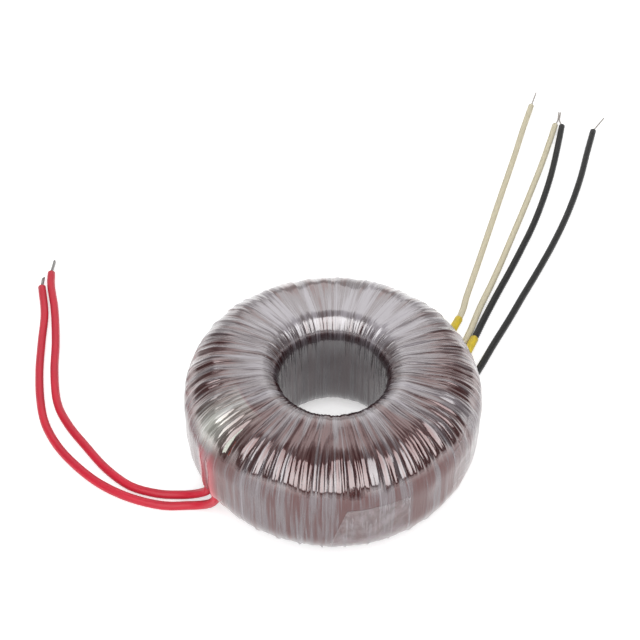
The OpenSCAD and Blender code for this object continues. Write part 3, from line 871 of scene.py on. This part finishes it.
class TRANSFORMER_OT_inside(bpy.types.Operator):
    """Give the parts inside the wrap their finishes"""
    bl_idname = "transformer.inside"
    bl_label = "Inside"

    def execute(self, context):
        steel = inner_finish("wound silicon-steel strip", "#4E5054", "#7E8084", 0.25, (0.2, 0.2, 4), 0.3,
                             1.0)
        tape = inner_finish("polyester insulating tape", "#C9BC94", "#E0D6B4", 1.2, (1, 1, 1), 0.35)
        copper = inner_finish("enamelled copper wire", "#4A1A14", "#7C3426", 0.6, (1, 1, 1), 0.2)
        fleece = inner_finish("insulating fleece", "#BCC0B4", "#DADCD2", 0.4, (1, 1, 1), 0.7)
        red = inner_finish("red lead under the film", "#B02038", "#D42E48", 0.8, (1, 1, 0.2), 0.4)
        for name, mat in (("core", steel), ("core_tape", tape), ("barrier_tape", tape),
                          ("primary_winding", copper),
                          ("secondary_winding_a", copper), ("secondary_winding_b", copper),
                          ("splice_pad", fleece),
                          ("primary_run_a", red), ("primary_run_b", red)):
            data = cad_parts[name].data
            data.materials.clear()
            data.materials.append(mat)
        return {"FINISHED"}


class TRANSFORMER_OT_stage(bpy.types.Operator):
    """Lay the pale floor and hang the soft lamps"""
    bl_idname = "transformer.stage"
    bl_label = "Stage"

    def execute(self, context):
        studio = context.scene.transformer_studio
        bm = bmesh.new()
        bmesh.ops.create_grid(bm, x_segments=8, y_segments=8, size=6)
        bmesh.ops.translate(bm, verts=bm.verts[:], vec=(0, 0, -0.0002))
        mesh = bpy.data.meshes.new("floor")
        bm.to_mesh(mesh)
        bm.free()
        floor = bpy.data.objects.new("floor", mesh)
        context.scene.collection.objects.link(floor)
        mat, tree, shader = new_material("matt white floor")
        shader.inputs["Base Color"].default_value = (0.86, 0.86, 0.86, 1)
        shader.inputs["Roughness"].default_value = 0.9
        path = node(tree, "ShaderNodeLightPath")
        seen = node(tree, "ShaderNodeMath",
                    {0: path.outputs["Is Camera Ray"], 1: path.outputs["Is Glossy Ray"]}, operation="ADD")
        seen = node(tree, "ShaderNodeMath", {0: seen.outputs[0], 1: path.outputs["Is Transmission Ray"]},
                    operation="ADD")
        lift = node(tree, "ShaderNodeMath", {0: seen.outputs[0]}, operation="MULTIPLY", Value_001=0.5)
        shader.inputs["Emission Color"].default_value = (1, 1, 1, 1)
        tree.links.new(lift.outputs[0], shader.inputs["Emission Strength"])
        mesh.materials.append(mat)
        for name, size, place, level in (("key", (1.4, 1.4), (0.0, -0.66, 0.83), studio.key),
                                         ("back", (1.4, 0.7), (0.0, 0.95, 0.85), studio.back)):
            lamp = bpy.data.lights.new(name, "AREA")
            lamp.shape = "RECTANGLE"
            lamp.size, lamp.size_y = size
            lamp.energy = level * math.pi * size[0] * size[1]
            hung = bpy.data.objects.new(name, lamp)
            context.scene.collection.objects.link(hung)
            hung.location = place
            hung.rotation_euler = (-Vector(place)).to_track_quat("-Z", "Y").to_euler()
            hung.visible_camera = False
        world = bpy.data.worlds.new("studio")
        context.scene.world = world
        world.use_nodes = True
        tree = world.node_tree
        tree.nodes.clear()
        way = node(tree, "ShaderNodeTexCoord").outputs["Generated"]
        part = node(tree, "ShaderNodeSeparateXYZ", {"Vector": way})
        # pale at the horizon and behind, half dark overhead, dark at the sides
        low = node(tree, "ShaderNodeMapRange", {"Value": part.outputs["Z"]}, From_Min=0.06, From_Max=0.22,
                   To_Min=1.0, To_Max=0.12, interpolation_type="SMOOTHSTEP")
        behind = node(tree, "ShaderNodeMapRange", {"Value": part.outputs["Y"]}, From_Min=0.1,
                      From_Max=0.6, To_Min=0.0, To_Max=0.7, interpolation_type="SMOOTHSTEP")
        above = node(tree, "ShaderNodeMapRange", {"Value": part.outputs["Z"]}, From_Min=0.6,
                     From_Max=0.92, To_Min=0.0, To_Max=0.34, interpolation_type="SMOOTHSTEP")
        level = node(tree, "ShaderNodeMath", {0: low.outputs[0], 1: behind.outputs[0]}, operation="MAXIMUM")
        level = node(tree, "ShaderNodeMath", {0: level.outputs[0], 1: above.outputs[0]},
                     operation="MAXIMUM")
        light = node(tree, "ShaderNodeBackground", {"Strength": level.outputs[0]}, Color=(1, 1, 1, 1))
        node(tree, "ShaderNodeOutputWorld", {"Surface": light.outputs[0]})
        context.scene.view_settings.view_transform = "Standard"
        return {"FINISHED"}


class TRANSFORMER_PT_panel(bpy.types.Panel):
    """The transformer's steps, in order"""
    bl_idname = "TRANSFORMER_PT_panel"
    bl_label = "Toroidal transformer"
    bl_space_type = "VIEW_3D"
    bl_region_type = "UI"
    bl_category = "Transformer"

    def draw(self, context):
        for operator in OPERATORS:
            self.layout.operator(operator.bl_idname)
        for settings in ("transformer_ring", "transformer_leads", "transformer_studio"):
            group = getattr(context.scene, settings)
            for name in group.bl_rna.properties.keys():
                if name not in ("rna_type", "name"):
                    self.layout.prop(group, name)


OPERATORS = (TRANSFORMER_OT_camera, TRANSFORMER_OT_primary_leads, TRANSFORMER_OT_secondary_leads,
             TRANSFORMER_OT_film_wrap, TRANSFORMER_OT_film_ends, TRANSFORMER_OT_inside,
             TRANSFORMER_OT_stage)
GROUPS = {"transformer_ring": RingWrapSettings, "transformer_leads": LeadSettings,
          "transformer_studio": StudioSettings}


def register():
    """Registers the settings, the operators and the panel."""
    for cls in (*GROUPS.values(), *OPERATORS, TRANSFORMER_PT_panel):
        bpy.utils.register_class(cls)
    for name, group in GROUPS.items():
        setattr(bpy.types.Scene, name, PointerProperty(type=group))


def unregister():
    """Takes them away again."""
    for name in GROUPS:
        delattr(bpy.types.Scene, name)
    for cls in (TRANSFORMER_PT_panel, *reversed(OPERATORS), *GROUPS.values()):
        bpy.utils.unregister_class(cls)


def main():
    """Makes every piece in order."""
    register()
    for operator in OPERATORS:
        group, name = operator.bl_idname.split(".")
        getattr(getattr(bpy.ops, group), name)()


if __name__ == "__main__":
    main()
